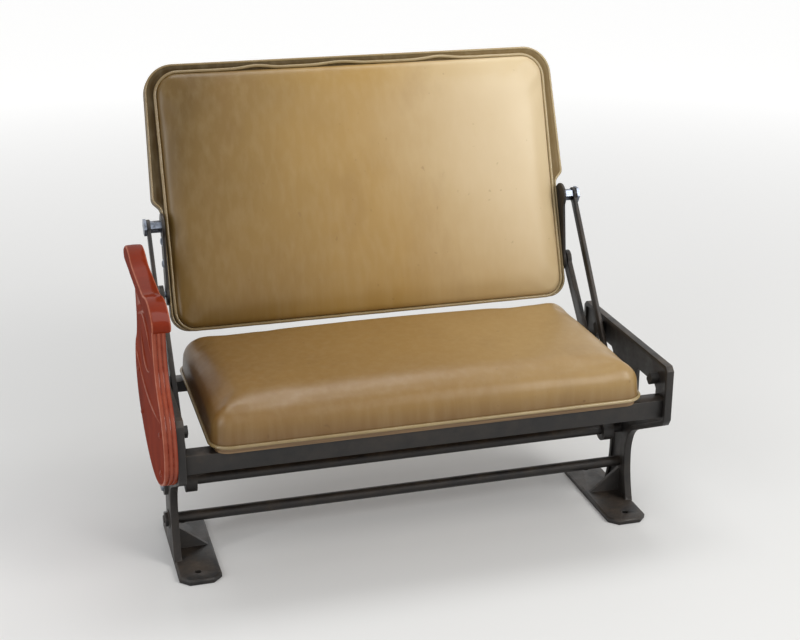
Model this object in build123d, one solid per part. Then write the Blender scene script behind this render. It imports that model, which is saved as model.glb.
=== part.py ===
from build123d import *
from collections import namedtuple
from math import atan2, cos, degrees, radians, sin
import os

# Reversible double seat of a railway coach. Millimetres, +Z up, +X from the aisle to the wall,
# +Y towards the back as it stands. The origin is on the floor, in the middle of the floor bolts.

# Back: one padded panel between two levers, facing the other way after it has walked over
BACK_WIDTH = 936          # of its lower part, between the brackets
BACK_HEIGHT = 594         # along its slope
BACK_RECLINE = 20         # degrees from upright, the same both ways
BACK_TOP_R = 65
BACK_FOOT_R = 42
EDGE_REACH = 18           # how far the sides step out above the brackets
EDGE_TAPER = 8            # how far they come in again, up to the top
EDGE_OVER_BRACKET = 9     # from a bracket's end up to the step
CORE_THICK = 28
PAD_EDGE_THICK = 17
PAD_CROWN = 11            # how far the middle of a pad stands out past its edges
PAD_CROWN_SLOPE = 72      # degrees from square to the pad, of the crown's sides
PAD_CORNER_R = 42
PAD_SIDE_INSET = 12       # pad's sides inside the core's lower part
PAD_TOP_INSET = 20
PAD_FOOT_INSET = 4

# Cushion, the same seen from both directions, on a board with two rails under it
CUSHION_END_GAP = 17      # from each end of the cushion to the levers
CUSHION_DEPTH = 470
CUSHION_BASE_Z = 337
CUSHION_EDGE_Z = 412
CUSHION_CROWN = 26
CUSHION_CROWN_SLOPE = 78  # degrees from upright, of the crown's sides
CUSHION_EDGE_BEVEL = 24
CUSHION_CORNER_R = 40
PAN_THICK = 12
PAN_INSET = 12
RAIL_INSET = 9            # outer face of each rail inside the pan's edge
RAIL_LEG = 40
RAIL_THICK = 5

# Where the back stands over the cushion
BACK_BEHIND_CUSHION = 17  # middle of the back's lower edge, behind the cushion's rear face
BACK_LIFT = 0             # middle of the back's lower edge, above the cushion's edge height

# Linkage at each end: a lever on the cross shaft, and a guide link above it
SHAFT_Z = 170
SHAFT_R = 12
LEVER_PIN_UP = 86         # from the back's lower edge, along its slope
LINK_PIN_UP = 150         # from the lever pin, along the slope
LINK_PIN_FORE = 32        # from the middle plane of the back, towards the front face
LEVER_HALF_WIDTH = 15
LEVER_EYE_R = 21
LEVER_HUB_R = 26
LEVER_HUB_LENGTH = 14     # past the lever's inner face
LINK_HALF_WIDTH = 11
LINK_EYE_R = 17
BRACKET_HALF_WIDTH = 21
BRACKET_FOOT_R = 25
BRACKET_TOP_R = 29
EYE_BLEND_R = 12          # hollow corners where a shank meets its eyes

# Pins and their fits
PIN_R = 7
PIN_HEAD_HALF_FLATS = 12
LINK_PIN_HEAD_HALF_FLATS = 17
LINK_PIN_COLLAR_HALF_FLATS = 12
PIN_FIT = 0.08            # radial, of pins and shaft in their bores
OPEN_PIVOT_FIT = 3.2      # radial, of the link pins in the guide links' upper eyes
HEAD_FIT = 0.5            # under a pin's head

# Layers at each end, from the back outwards along X
BRACKET_THICK = 6
LEVER_GAP = 5
LEVER_THICK = 10
LINK_GAP = 9
LINK_THICK = 8
FRAME_GAP = 5
FRAME_THICK = 16
PIN_HEAD_THICK = 3
LINK_PIN_HEAD_THICK = 6

# Frames: cast pedestals that carry the rails, the shaft and the stops
FOOT_LENGTH = 300
FOOT_WIDTH = 90
FOOT_THICK = 12
FOOT_CORNER_BEVEL = 20
FOOT_BEVEL = 4
FLOOR_BOLT_R = 7
FLOOR_BOLT_SPACING_Y = 230
FLOOR_BOLT_INSET = 26     # from the frame's inner face to the bolt holes
STEM_HALF_FOOT = 62
STEM_HALF_WAIST = 42
STEM_WAIST_Z = 120
KNEE_HALF = 64
KNEE_UP = 18              # above the shaft
KNEE_R = 60
HEAD_PAST_RAIL = 12       # head's end beyond the rail's outer face
HEAD_BELOW_RAIL = 14
HEAD_UNDER_EDGE = 8       # head's top below the cushion's edge height
HEAD_CORNER_BEVEL = 10
RIM_WIDTH = 11            # raised rim round the inner face
RIM_HEIGHT = 5
WINDOW_NEAR_Y = 62
WINDOW_FAR_Y = 165
WINDOW_DROP = 62          # window's top below the head's top
WINDOW_NEAR_HEIGHT = 96
WINDOW_FAR_HEIGHT = 34
WINDOW_CORNER_BEVEL = 9
FOOT_RIB_THICK = 10
FOOT_RIB_INSET = 10       # rib's tip inside the foot's edge
FOOT_RIB_GAP = 4          # under the stretcher
SHAFT_BOSS_R = 26
SHAFT_BOSS_THICK = 8

# Stretcher and stops between the frames
STRETCHER_R = 12
STRETCHER_Z = 84
STOP_REACH = 214          # along the guide link, from its lower pin
STOP_LENGTH = 26          # along the guide link
STOP_DEPTH = 18           # square to it
STOP_BEVEL = 3
STOP_GAP = 0.3

# Ornamental plate and armrest on the aisle side
PLATE_THICK = 27
PLATE_NECK_HALF = 145
PLATE_NECK_DROP = 71      # upright sides, from the arm down to the neck
PLATE_BELLY_HALF = 240
PLATE_BELLY_Z = 345
PLATE_BOTTOM_Z = 203
PLATE_BELLY_R = 100
REED_COUNT = 3
REED_BEVEL = 2.4
RELIEF_HEIGHT = 2
ARM_WIDTH = 37
ARM_HALF_LENGTH = 250
ARM_CREST_Z = 640
ARM_CREST_INSET = 72      # from the tip of the nose back to the highest point
ARM_DIP = 14              # flat middle below the crest
ARM_FLAT_HALF = 75
ARM_TIP_DROP = 29         # tip of the nose below the crest
ARM_BROW_R = 10           # nose's upper corner
ARM_CHIN_R = 15           # nose's lower corner
ARM_BEVEL = 3

# Raised lines on the plate's aisle face: y and z of each inner arc, and the width at its middle
Crescent = namedtuple("Crescent", "start middle end width")
RELIEF = [
    Crescent((55, 533), (-36, 543), (-105, 495), 5),      # upper half of the open oval
    Crescent((67, 502), (30, 452), (-60, 452), 5),        # lower half of the open oval
    Crescent((-205, 398), (0, 371), (205, 398), 5),       # long swag
    Crescent((205, 400), (168, 397), (128, 388), 3),      # short line beside the swag's end
]

# Places along X, each from the piece before it
BRACKET_X = BACK_WIDTH / 2
LEVER_X = BRACKET_X + BRACKET_THICK + LEVER_GAP
LINK_X = LEVER_X + LEVER_THICK + LINK_GAP
FRAME_X = LINK_X + LINK_THICK + FRAME_GAP
WEB_X = FRAME_X + RIM_HEIGHT
FRAME_OUT_X = FRAME_X + FRAME_THICK
PLATE_OUT_X = FRAME_OUT_X + PLATE_THICK
CUSHION_WIDTH = 2 * (LEVER_X - CUSHION_END_GAP)

# Heights and depths that follow the cushion
PAN_LOW_Z = CUSHION_BASE_Z - PAN_THICK
RAIL_OUT_Y = CUSHION_DEPTH / 2 - PAN_INSET - RAIL_INSET
HEAD_HALF = RAIL_OUT_Y + HEAD_PAST_RAIL
HEAD_LOW_Z = PAN_LOW_Z - RAIL_LEG - HEAD_BELOW_RAIL
HEAD_TOP_Z = CUSHION_EDGE_Z - HEAD_UNDER_EDGE

# Heights of the nose's tip and of the arm's underside, which the plate reaches up to
ARM_TIP_Z = ARM_CREST_Z - ARM_TIP_DROP
ARM_UNDER_Z = ARM_TIP_Z - ARM_CHIN_R

NEAR = 0.01               # how close a corner is to a place when it is picked by that place

# Places in the side view: y, z
BACK_LOW = Vector(CUSHION_DEPTH / 2 + BACK_BEHIND_CUSHION, CUSHION_EDGE_Z + BACK_LIFT)
SHAFT = Vector(0, SHAFT_Z)

End = namedtuple("End", "name side")   # side is the sign of x
ENDS = [End("aisle", -1), End("wall", 1)]


def leaning(angle, across, up):
    """A step across (+y) and up in a frame that leans towards +y by an angle in degrees."""
    s, c = sin(radians(angle)), cos(radians(angle))
    return Vector(across * c + up * s, up * c - across * s)


def circle_centre(p, q, r):
    """The centre of the circle through three points of the side view."""
    ax, ay, bx, by = q.X - p.X, q.Y - p.Y, r.X - p.X, r.Y - p.Y
    a2, b2, twice = ax * ax + ay * ay, bx * bx + by * by, 2 * (ax * by - ay * bx)
    return Vector(p.X + (by * a2 - ay * b2) / twice, p.Y + (ax * b2 - bx * a2) / twice)


LEVER_PIN = BACK_LOW + leaning(BACK_RECLINE, 0, LEVER_PIN_UP)
LEVER_LENGTH = (LEVER_PIN - SHAFT).length
LEVER_LEAN = degrees(atan2(LEVER_PIN.X - SHAFT.X, LEVER_PIN.Y - SHAFT.Y))


def link_pin_at(share):
    """The guide link's upper pin: share 1 as it stands, 0 half way over, -1 walked over."""
    lever_pin = SHAFT + leaning(LEVER_LEAN * share, 0, LEVER_LENGTH)
    return lever_pin + leaning(BACK_RECLINE * share, -LINK_PIN_FORE, LINK_PIN_UP)


# The guide link's foot is the one point as far from the upper pin in all three of those places
LINK_PIN = link_pin_at(1)
LINK_FOOT = circle_centre(link_pin_at(1), link_pin_at(0), link_pin_at(-1))


def lean_of(top, foot):
    return degrees(atan2(top.X - foot.X, top.Y - foot.Y))


def side_plane(x):
    """Sketch plane of the side view at x: its own x is the seat's Y and its own y is Z."""
    return Plane(origin=(x, 0, 0), x_dir=(0, 1, 0), z_dir=(1, 0, 0))


def slab(sketch, x_start, x_end):
    """A side-view sketch made solid from one x to the other."""
    low, high = min(x_start, x_end), max(x_start, x_end)
    return extrude(side_plane(low) * sketch, amount=high - low)


def rims(solid):
    """The edges round the two end faces of a slab: the rim at its lowest x, then the other."""
    faces = solid.faces().sort_by(Axis.X)
    return faces[0].edges(), faces[-1].edges()


def disc(at, radius):
    return Pos(at.X, at.Y) * Circle(radius)


def rod(at, radius, x_start, x_end):
    return slab(disc(at, radius), x_start, x_end)


def hexagon(at, half_flats, x_start, x_end):
    return slab(Pos(at.X, at.Y) * RegularPolygon(half_flats, 6, major_radius=False), x_start, x_end)


def bar(foot, top, half_width, foot_r, top_r):
    """A flat bar between two eyes, in the side view, with hollow corners at the eyes."""
    run = top - foot
    shank = Pos(run.length / 2, 0) * Rectangle(run.length, 2 * half_width)
    outline = shank + Circle(foot_r) + Pos(run.length, 0) * Circle(top_r)
    corners = [v for v in outline.vertices() if abs(abs(v.Y) - half_width) < NEAR]
    outline = fillet(corners, EYE_BLEND_R)
    return Pos(foot.X, foot.Y) * Rot(0, 0, degrees(atan2(run.Y, run.X))) * outline


def mirrored_face(half):
    """A face from the +y half of an outline that starts and ends on the middle plane."""
    return make_face(half + mirror(half, about=Plane.YZ))


def on_back(solid):
    """From the back's own upright frame, lower edge at the origin, to where it stands."""
    return Pos(0, BACK_LOW.X, BACK_LOW.Y) * Rot(-BACK_RECLINE, 0, 0) * solid


def core_outline():
    """The core's front view: it steps out above the brackets and narrows again to the top."""
    half = BACK_WIDTH / 2
    step = LEVER_PIN_UP + LINK_PIN_UP + BRACKET_TOP_R + EDGE_OVER_BRACKET
    widest = step + EDGE_REACH
    top_half = half + EDGE_REACH - EDGE_TAPER
    side = [(half, 0), (half, step), (half + EDGE_REACH, widest), (top_half, BACK_HEIGHT)]
    other = [(-x, up) for x, up in reversed(side)]
    face = make_face(Polyline(*side, *other, close=True))
    for up, radius in ((0, BACK_FOOT_R), (step, EDGE_REACH), (widest, EDGE_REACH), (BACK_HEIGHT, BACK_TOP_R)):
        face = fillet([v for v in face.vertices() if abs(v.Y - up) < NEAR], radius)
    return face


def back_core():
    upright = Plane(origin=(0, CORE_THICK / 2, 0), x_dir=(1, 0, 0), z_dir=(0, -1, 0))
    return on_back(extrude(upright * core_outline(), amount=CORE_THICK))


def back_pad(side):
    """A pad with straight edges and a flat-topped crown. side is -1 in front and 1 behind."""
    upright = Plane(origin=(0, side * CORE_THICK / 2, 0), x_dir=(-side, 0, 0), z_dir=(0, side, 0))
    width, height = BACK_WIDTH - 2 * PAD_SIDE_INSET, BACK_HEIGHT - PAD_TOP_INSET - PAD_FOOT_INSET
    outline = Pos(0, PAD_FOOT_INSET + height / 2) * RectangleRounded(width, height, PAD_CORNER_R)
    edge = extrude(upright * outline, amount=PAD_EDGE_THICK)
    crown = extrude(upright.offset(PAD_EDGE_THICK) * outline, amount=PAD_CROWN, taper=PAD_CROWN_SLOPE)
    return on_back(edge + crown)


def cushion():
    """The seat cushion: upright sides, bevelled upper edges and a low crown."""
    base = Pos(0, 0, CUSHION_BASE_Z) * RectangleRounded(CUSHION_WIDTH, CUSHION_DEPTH, CUSHION_CORNER_R)
    body = extrude(base, amount=CUSHION_EDGE_Z - CUSHION_BASE_Z)
    body = chamfer(body.faces().sort_by(Axis.Z)[-1].edges(), CUSHION_EDGE_BEVEL)
    top = body.faces().sort_by(Axis.Z)[-1]
    return body + extrude(top, amount=CUSHION_CROWN, taper=CUSHION_CROWN_SLOPE)


def pan():
    width, depth = CUSHION_WIDTH - 2 * PAN_INSET, CUSHION_DEPTH - 2 * PAN_INSET
    board = RectangleRounded(width, depth, CUSHION_CORNER_R - PAN_INSET)
    return extrude(Pos(0, 0, PAN_LOW_Z) * board, amount=PAN_THICK)


def rail(side):
    """An angle rail under the pan, its upright leg on the outer side."""
    outer = side * RAIL_OUT_Y
    leg = Pos(outer - side * RAIL_THICK / 2, PAN_LOW_Z - RAIL_LEG / 2) * Rectangle(RAIL_THICK, RAIL_LEG)
    shelf = Pos(outer - side * RAIL_LEG / 2, PAN_LOW_Z - RAIL_THICK / 2) * Rectangle(RAIL_LEG, RAIL_THICK)
    return slab(leg + shelf, -WEB_X, WEB_X)


def stretcher():
    return rod(Vector(0, STRETCHER_Z), STRETCHER_R, -WEB_X, WEB_X)


def frame_half_outline():
    """The pedestal's +y half: foot, waisted stem and spread head."""
    foot = (STEM_HALF_FOOT, FOOT_THICK)
    waist = (STEM_HALF_WAIST, STEM_WAIST_Z)
    knee = (KNEE_HALF, SHAFT_Z + KNEE_UP)
    return Curve() + [
        Line((0, 0), (STEM_HALF_FOOT, 0)),
        Line((STEM_HALF_FOOT, 0), foot),
        TangentArc([waist, foot], tangent=(0, -1)),
        TangentArc([waist, knee], tangent=(0, 1)),
        Line(knee, (HEAD_HALF, HEAD_LOW_Z)),
        Line((HEAD_HALF, HEAD_LOW_Z), (HEAD_HALF, HEAD_TOP_Z)),
        Line((HEAD_HALF, HEAD_TOP_Z), (0, HEAD_TOP_Z)),
    ]


def frame_outline():
    face = mirrored_face(frame_half_outline())
    face = chamfer([v for v in face.vertices() if abs(abs(v.X) - HEAD_HALF) < NEAR], HEAD_CORNER_BEVEL)
    return fillet([v for v in face.vertices() if abs(abs(v.X) - KNEE_HALF) < NEAR], KNEE_R)


def frame_window(side_y):
    """A four-sided window in the head, lower at its far side. side_y is the sign of y."""
    near, far = side_y * WINDOW_NEAR_Y, side_y * WINDOW_FAR_Y
    top = HEAD_TOP_Z - WINDOW_DROP
    far_low, near_low = top - WINDOW_FAR_HEIGHT, top - WINDOW_NEAR_HEIGHT
    face = make_face(Polyline((near, top), (far, top), (far, far_low), (near, near_low), close=True))
    return chamfer(face.vertices(), WINDOW_CORNER_BEVEL)


def frame_web(side):
    """The upright part of a pedestal: a rimmed web with two windows."""
    outline = frame_outline()
    inner = side * FRAME_X
    web = slab(outline, inner, side * FRAME_OUT_X)
    web -= slab(offset(outline, -RIM_WIDTH), inner, side * WEB_X)
    for side_y in (-1, 1):
        web -= slab(frame_window(side_y), inner, side * FRAME_OUT_X)
    return web


def frame_foot(side):
    """The floor flange with its bolt holes and bevelled upper edge."""
    centre_x = side * (FRAME_OUT_X - FOOT_WIDTH / 2)
    plan = Rectangle(FOOT_WIDTH, FOOT_LENGTH)
    plan = chamfer(plan.vertices(), FOOT_CORNER_BEVEL)
    flange = extrude(Pos(centre_x, 0, 0) * plan, amount=FOOT_THICK)
    flange = chamfer(flange.faces().sort_by(Axis.Z)[-1].edges(), FOOT_BEVEL)
    hole_x = side * (FRAME_X - FLOOR_BOLT_INSET)
    for y in (-FLOOR_BOLT_SPACING_Y / 2, FLOOR_BOLT_SPACING_Y / 2):
        flange -= Pos(hole_x, y, FOOT_THICK / 2) * Cylinder(FLOOR_BOLT_R, 2 * FOOT_THICK)
    return flange


def frame_rib(side):
    """A triangular rib on the inner face, from the flange up the stem."""
    web_face = side * WEB_X
    tip = side * (FRAME_OUT_X - FOOT_WIDTH + FOOT_RIB_INSET)
    top = STRETCHER_Z - STRETCHER_R - FOOT_RIB_GAP
    profile = Polyline((web_face, FOOT_THICK), (tip, FOOT_THICK), (web_face, top), close=True)
    face = Plane(origin=(0, FOOT_RIB_THICK / 2, 0), x_dir=(1, 0, 0), z_dir=(0, -1, 0)) * make_face(profile)
    return extrude(face, amount=FOOT_RIB_THICK)


def frame(side):
    """One pedestal casting, with a boss outside for the shaft's bearing."""
    boss_end = side * (FRAME_OUT_X + SHAFT_BOSS_THICK)
    casting = frame_web(side) + frame_foot(side) + frame_rib(side)
    casting += rod(SHAFT, SHAFT_BOSS_R, side * FRAME_OUT_X, boss_end)
    return casting - rod(SHAFT, SHAFT_R + PIN_FIT, side * FRAME_X, boss_end)


def stop(side, share):
    """A rubber buffer whose flat side the guide link meets at one end of its travel."""
    lean = lean_of(link_pin_at(share), LINK_FOOT)
    across = LINK_HALF_WIDTH + STOP_GAP + STOP_DEPTH / 2
    centre = LINK_FOOT + leaning(lean, share * across, STOP_REACH)
    block = Rectangle(STOP_DEPTH, STOP_LENGTH)
    block = chamfer(block.vertices(), STOP_BEVEL)
    return slab(Pos(centre.X, centre.Y) * Rot(0, 0, -lean) * block, side * WEB_X, side * LINK_X)


def stops(side):
    """The two buffers on the inner face of a frame, one for each end of the travel."""
    return stop(side, 1) + stop(side, -1)


def link_stud(side):
    """The fixed pin that a guide link turns on, with its head inside the link."""
    head_end = side * (LINK_X - HEAD_FIT - PIN_HEAD_THICK)
    stud = rod(LINK_FOOT, PIN_R, side * WEB_X, head_end)
    return stud + hexagon(LINK_FOOT, PIN_HEAD_HALF_FLATS, side * (LINK_X - HEAD_FIT), head_end)


def guide_link(side):
    plate = bar(LINK_FOOT, LINK_PIN, LINK_HALF_WIDTH, LINK_EYE_R, LINK_EYE_R)
    plate -= disc(LINK_FOOT, PIN_R + PIN_FIT)
    plate -= disc(LINK_PIN, PIN_R + OPEN_PIVOT_FIT)
    return slab(plate, side * LINK_X, side * (LINK_X + LINK_THICK))


def lever(side):
    """A flat lever with a hub that sits on the cross shaft."""
    plate = bar(SHAFT, LEVER_PIN, LEVER_HALF_WIDTH, LEVER_HUB_R, LEVER_EYE_R)
    plate -= disc(LEVER_PIN, PIN_R + PIN_FIT)
    inner, outer = side * LEVER_X, side * (LEVER_X + LEVER_THICK)
    hub_end = side * (LEVER_X - LEVER_HUB_LENGTH)
    body = slab(plate, inner, outer) + rod(SHAFT, LEVER_HUB_R, inner, hub_end)
    return body - rod(SHAFT, SHAFT_R, hub_end, outer)


def cross_shaft():
    end = FRAME_OUT_X + SHAFT_BOSS_THICK
    return rod(SHAFT, SHAFT_R, -end, end)


def bracket(side):
    """The plate on the back's end that both pins stand on."""
    plate = bar(LEVER_PIN, LINK_PIN, BRACKET_HALF_WIDTH, BRACKET_FOOT_R, BRACKET_TOP_R)
    return slab(plate, side * BRACKET_X, side * (BRACKET_X + BRACKET_THICK))


def lever_pin(side):
    """From the bracket through the lever's eye, with a low head outside."""
    head_face = side * (LEVER_X + LEVER_THICK + HEAD_FIT)
    head_end = head_face + side * PIN_HEAD_THICK
    pin = rod(LEVER_PIN, PIN_R, side * (BRACKET_X + BRACKET_THICK), head_end)
    return pin + hexagon(LEVER_PIN, PIN_HEAD_HALF_FLATS, head_face, head_end)


def link_pin(side):
    """From the bracket past the lever's plane and through the guide link's eye."""
    start = side * (BRACKET_X + BRACKET_THICK)
    head_face = side * (LINK_X + LINK_THICK + HEAD_FIT)
    head_end = head_face + side * LINK_PIN_HEAD_THICK
    pin = rod(LINK_PIN, PIN_R, start, head_end)
    pin += hexagon(LINK_PIN, LINK_PIN_COLLAR_HALF_FLATS, start, side * (LINK_X - HEAD_FIT))
    return pin + hexagon(LINK_PIN, LINK_PIN_HEAD_HALF_FLATS, head_face, head_end)


def arc_join(level, corner, corner_r):
    """Where the arc that leaves a point level runs into a corner circle, tangent to it."""
    run, rise = corner.X - level.X, corner.Y - level.Y
    radius = (run ** 2 + rise ** 2 - corner_r ** 2) / (2 * (abs(rise) - corner_r))
    centre = level + Vector(0, radius if rise > 0 else -radius)
    return corner + (corner - centre).normalized() * corner_r


def plate_half_outline():
    """The ornamental plate's +y half: neck, swelling belly and three-centred lower edge."""
    neck = Vector(PLATE_NECK_HALF, ARM_UNDER_Z - PLATE_NECK_DROP)
    belly = Vector(PLATE_BELLY_HALF, PLATE_BELLY_Z)
    waist = (neck + belly) * 0.5
    lowest = Vector(0, PLATE_BOTTOM_Z)
    join = arc_join(lowest, Vector(PLATE_BELLY_HALF - PLATE_BELLY_R, PLATE_BELLY_Z), PLATE_BELLY_R)
    shoulder = TangentArc([neck, waist], tangent=(0, -1))
    flank = TangentArc([waist, belly], tangent=shoulder % 1)
    turn = TangentArc([belly, join], tangent=(0, -1))
    sole = TangentArc([join, lowest], tangent=turn % 1)
    head = Polyline((0, ARM_UNDER_Z), (PLATE_NECK_HALF, ARM_UNDER_Z), neck)
    return Curve() + [*head.edges(), shoulder, flank, turn, sole]


def crescent(row):
    """A raised line between two arcs that meet in points at its ends."""
    start, middle, end = Vector(row.start), Vector(row.middle), Vector(row.end)
    outward = (middle - (start + end) * 0.5).normalized()
    arcs = ThreePointArc(start, middle, end), ThreePointArc(end, middle + outward * row.width, start)
    return make_face(Curve() + list(arcs))


def plate_cove():
    """The hollow under the arm, where the plate's aisle face sweeps out to the arm's side."""
    reach = ARM_WIDTH - PLATE_THICK
    corner = Pos(-PLATE_OUT_X - reach / 2, ARM_UNDER_Z - reach / 2) * Rectangle(reach, reach)
    hollow = corner - Pos(-PLATE_OUT_X - reach, ARM_UNDER_Z - reach) * Circle(reach)
    upright = Plane(origin=(0, 0, 0), x_dir=(1, 0, 0), z_dir=(0, -1, 0))
    return extrude(upright * hollow, amount=PLATE_NECK_HALF, both=True)


def end_plate():
    """The aisle plate: reeds stacked along its edge, a cove under the arm and the relief."""
    face = mirrored_face(plate_half_outline())
    reed = PLATE_THICK / REED_COUNT
    plate = plate_cove()
    for i in range(REED_COUNT):
        start = FRAME_OUT_X + i * reed
        layer = slab(face, -start, -(start + reed))
        aisle_rim, frame_rim = rims(layer)
        plate += chamfer(aisle_rim + frame_rim if i else aisle_rim, REED_BEVEL)
    for row in RELIEF:
        plate += slab(crescent(row), -PLATE_OUT_X, -(PLATE_OUT_X + RELIEF_HEIGHT))
    return plate


def arm_half_outline():
    """The armrest's +y half: a dished top that rises to a crest and rolls over to the nose."""
    flat = Vector(ARM_FLAT_HALF, ARM_CREST_Z - ARM_DIP)
    crest = Vector(ARM_HALF_LENGTH - ARM_CREST_INSET, ARM_CREST_Z)
    rise = (flat + crest) * 0.5
    join = arc_join(crest, Vector(ARM_HALF_LENGTH - ARM_BROW_R, ARM_TIP_Z), ARM_BROW_R)
    tip = (ARM_HALF_LENGTH, ARM_TIP_Z)
    low = (ARM_HALF_LENGTH - ARM_CHIN_R, ARM_UNDER_Z)
    dish = TangentArc([flat, rise], tangent=(1, 0))
    hump = TangentArc([rise, crest], tangent=dish % 1)
    roll = TangentArc([crest, join], tangent=(1, 0))
    brow = TangentArc([join, tip], tangent=roll % 1)
    chin = TangentArc([tip, low], tangent=(0, -1))
    top, under = Line((0, flat.Y), flat), Line(low, (0, ARM_UNDER_Z))
    return Curve() + [top, dish, hump, roll, brow, chin, under]


def armrest():
    body = slab(mirrored_face(arm_half_outline()), -FRAME_OUT_X, -(FRAME_OUT_X + ARM_WIDTH))
    aisle_rim, frame_rim = rims(body)
    return chamfer(aisle_rim + frame_rim, ARM_BEVEL)


def build():
    """Every piece under its file name."""
    pieces = {
        "back_core": back_core(),
        "front_pad": back_pad(-1),
        "rear_pad": back_pad(1),
        "seat_cushion": cushion(),
        "seat_pan": pan(),
        "front_rail": rail(-1),
        "rear_rail": rail(1),
        "stretcher_rod": stretcher(),
        "cross_shaft": cross_shaft(),
        "aisle_end_plate": end_plate(),
        "aisle_armrest": armrest(),
    }
    for end in ENDS:
        pieces[end.name + "_frame"] = frame(end.side)
        pieces[end.name + "_stops"] = stops(end.side)
        pieces[end.name + "_link_stud"] = link_stud(end.side)
        pieces[end.name + "_guide_link"] = guide_link(end.side)
        pieces[end.name + "_lever"] = lever(end.side)
        pieces[end.name + "_bracket"] = bracket(end.side)
        pieces[end.name + "_lever_pin"] = lever_pin(end.side)
        pieces[end.name + "_link_pin"] = link_pin(end.side)
    return pieces


os.makedirs("parts", exist_ok=True)
for name, piece in build().items():
    export_step(piece, "parts/" + name + ".step")
print("lever lean", round(LEVER_LEAN, 3), "pin", LEVER_PIN, "link foot", LINK_FOOT, "link pin", LINK_PIN)
print("link leans", [round(lean_of(link_pin_at(s), LINK_FOOT), 3) for s in (1, 0, -1)])
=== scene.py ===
import bpy
import math
import numpy as np
from mathutils import Matrix, Vector, noise


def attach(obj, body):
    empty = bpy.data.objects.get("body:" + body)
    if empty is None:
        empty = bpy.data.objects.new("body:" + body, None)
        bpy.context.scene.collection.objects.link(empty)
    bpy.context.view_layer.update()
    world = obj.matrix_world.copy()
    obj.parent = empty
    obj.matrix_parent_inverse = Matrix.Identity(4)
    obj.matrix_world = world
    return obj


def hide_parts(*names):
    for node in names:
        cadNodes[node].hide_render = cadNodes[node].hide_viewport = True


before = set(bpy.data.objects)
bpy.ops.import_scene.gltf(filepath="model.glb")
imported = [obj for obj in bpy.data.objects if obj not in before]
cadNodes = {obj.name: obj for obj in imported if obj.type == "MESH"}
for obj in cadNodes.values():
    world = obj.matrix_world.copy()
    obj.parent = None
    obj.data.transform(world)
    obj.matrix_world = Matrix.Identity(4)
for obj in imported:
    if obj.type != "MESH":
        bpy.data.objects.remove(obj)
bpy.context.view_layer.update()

mergeDistance = 1e-5           # points nearer than this are one
quarterTurn = np.radians(range(0, 91, 15))      # the steps of every rounded arris


# small tools for modelling

def clearSelection():
    if bpy.context.object and bpy.context.object.mode != "OBJECT":
        bpy.ops.object.mode_set(mode="OBJECT")
    bpy.ops.object.select_all(action="DESELECT")


def pick(obj):
    clearSelection()
    obj.select_set(True)
    bpy.context.view_layer.objects.active = obj


def named(name):
    obj = bpy.context.object
    obj.name = obj.data.name = name
    return obj


def link(obj):
    bpy.context.scene.collection.objects.link(obj)


def setAll(target, values):
    for key, value in values.items():
        setattr(target, key, value)


def editAll(obj):
    pick(obj)
    bpy.ops.object.mode_set(mode="EDIT")
    bpy.ops.mesh.select_all(action="SELECT")


def applyAll(obj):
    pick(obj)
    for modifier in list(obj.modifiers):
        bpy.ops.object.modifier_apply(modifier=modifier.name)


def faceOut(obj):
    editAll(obj)
    bpy.ops.mesh.remove_doubles(threshold=mergeDistance)
    bpy.ops.mesh.normals_make_consistent(inside=False)
    bpy.ops.object.mode_set(mode="OBJECT")
    return obj


def smooth(obj, degrees=180):
    # edges sharper than this many degrees stay sharp
    pick(obj)
    bpy.ops.object.shade_smooth_by_angle(angle=math.radians(degrees))
    return obj


def bevelArris(obj, width, segments, degrees=30):
    bevel = obj.modifiers.new("Arris", "BEVEL")
    values = {"width": width, "segments": segments, "limit_method": "ANGLE"}
    setAll(bevel, {**values, "angle_limit": math.radians(degrees)})
    applyAll(obj)


def joinInto(name, pieces):
    clearSelection()
    for piece in pieces:
        piece.select_set(True)
    bpy.context.view_layer.objects.active = pieces[0]
    bpy.ops.object.join()
    return named(name)


def copyOf(obj, name, move):
    # a copy with its own mesh, moved in the mesh
    copy = obj.copy()
    copy.data = obj.data.copy()
    copy.name = copy.data.name = name
    link(copy)
    copy.data.transform(move)
    return copy


def copiesAt(head, name, f, face, spots, way=Matrix.Identity(4)):
    # copies at spots given as y and z, each turned further than the one before
    copies = []
    for i, (y, z) in enumerate(spots):
        turn = Matrix.Rotation(math.radians(f["firstTurn"] + f["nextTurn"] * i), 4, "X")
        copies.append(copyOf(head, f"{name}{i}", Matrix.Translation((face, y, z)) @ way @ turn))
    return copies


def meshVerts(obj, kind="co"):
    values = np.zeros(len(obj.data.vertices) * 3)
    obj.data.vertices.foreach_get(kind, values)
    return values.reshape(-1, 3)


def setVerts(obj, coords):
    obj.data.vertices.foreach_set("co", np.asarray(coords, float).ravel())
    obj.data.update()


def moved(coords, place):
    place = np.array(place)
    return coords @ place[:3, :3].T + place[:3, 3]


def paint(obj, name, values):
    # a value from 0 to 1 on each point, which the materials read by name
    layer = obj.data.attributes.new(name, "FLOAT", "POINT")
    layer.data.foreach_set("value", np.clip(np.asarray(values, float), 0, 1))


def cover(obj, material):
    obj.data.materials.clear()
    obj.data.materials.append(material)


def finishPiece(obj, body, finish, *nodes):
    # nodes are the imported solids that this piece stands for
    material, slot = finish
    cover(obj, material)
    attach(obj, body)
    if nodes:
        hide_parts(*nodes)
    return obj


# lines of a flat view, in metres

def arcPoints(centre, start, turn, count):
    # start is the first point as seen from the centre
    return [centre + Matrix.Rotation(turn * k / count, 2) @ start for k in range(count + 1)]


def turnBetween(u, v):
    return math.atan2(u.cross(v), u.dot(v))


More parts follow.
